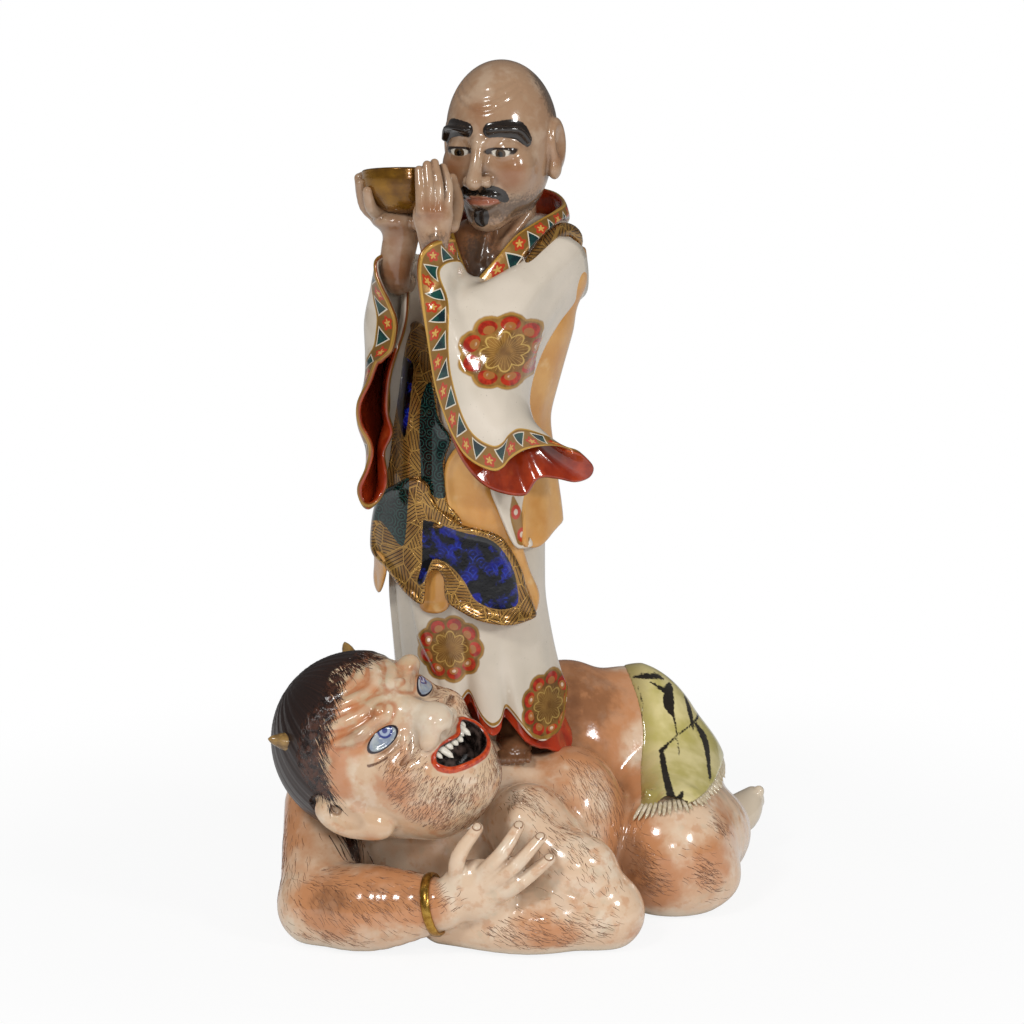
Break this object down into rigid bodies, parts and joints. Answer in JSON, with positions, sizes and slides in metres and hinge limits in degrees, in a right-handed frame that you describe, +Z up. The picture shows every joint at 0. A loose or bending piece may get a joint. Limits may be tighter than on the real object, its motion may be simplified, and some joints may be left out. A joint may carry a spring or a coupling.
{
  "type": "porcelain figure group",
  "caption": "Glazed porcelain figure group: a robed monk lifts an alms bowl while standing on the back of a crouching horned demon.",
  "frame": {"origin": "on the floor under the middle of the outline", "axes": "+Z up; -Y is the front, which the demon's crossed arms and the monk's bowl face; +X is the viewer's right"},
  "size_m": [0.2032, 0.1828, 0.342],
  "materials": {
    "skin": "flesh-tinted overglaze enamel under a clear glossy glaze",
    "white_glaze": "glossy warm white glaze with painted roundels",
    "gilt": "fired gilding, softly glossy",
    "brocade": "gilt ground painted with red florets and dark green triangles",
    "green_enamel": "dark green and cobalt blue enamel panels with gilt strips",
    "ochre": "glossy ochre enamel",
    "tiger_hide": "yellow-green enamel with black brush marks",
    "horn": "ochre-brown enamel",
    "biscuit": "unglazed fired porcelain"
  },
  "bodies": {
    "root": {"base_slab": "biscuit", "demon_trunk": "skin", "demon_neck": "skin", "demon_left_horn": "horn", "demon_right_horn": "horn", "demon_head": "skin", "demon_right_upper_arm": "skin", "demon_right_forearm": "skin", "demon_left_upper_arm": "skin", "demon_left_forearm": "skin", "demon_right_hand": "skin", "demon_bracelet": "gilt", "demon_left_hand": "skin", "demon_left_thigh": "skin", "demon_left_shin": "skin", "demon_left_foot": "skin", "demon_right_thigh": "skin", "demon_right_shin": "skin", "demon_right_foot": "skin", "tiger_skin_loincloth": "tiger_hide", "loincloth_fringe": "tiger_hide", "alms_bowl": "gilt", "monk_left_foot": "skin", "monk_right_foot": "skin", "robe_skirt": "white_glaze", "monk_neck_and_chest": "skin", "robe_body": "white_glaze", "robe_collar": "brocade", "monk_head": "skin", "monk_right_forearm_and_hand": "skin", "monk_left_forearm_and_hand": "skin", "left_sleeve": "white_glaze", "right_sleeve": "white_glaze", "surplice": "green_enamel", "mantle": "ochre"}
  },
  "joints": []
}
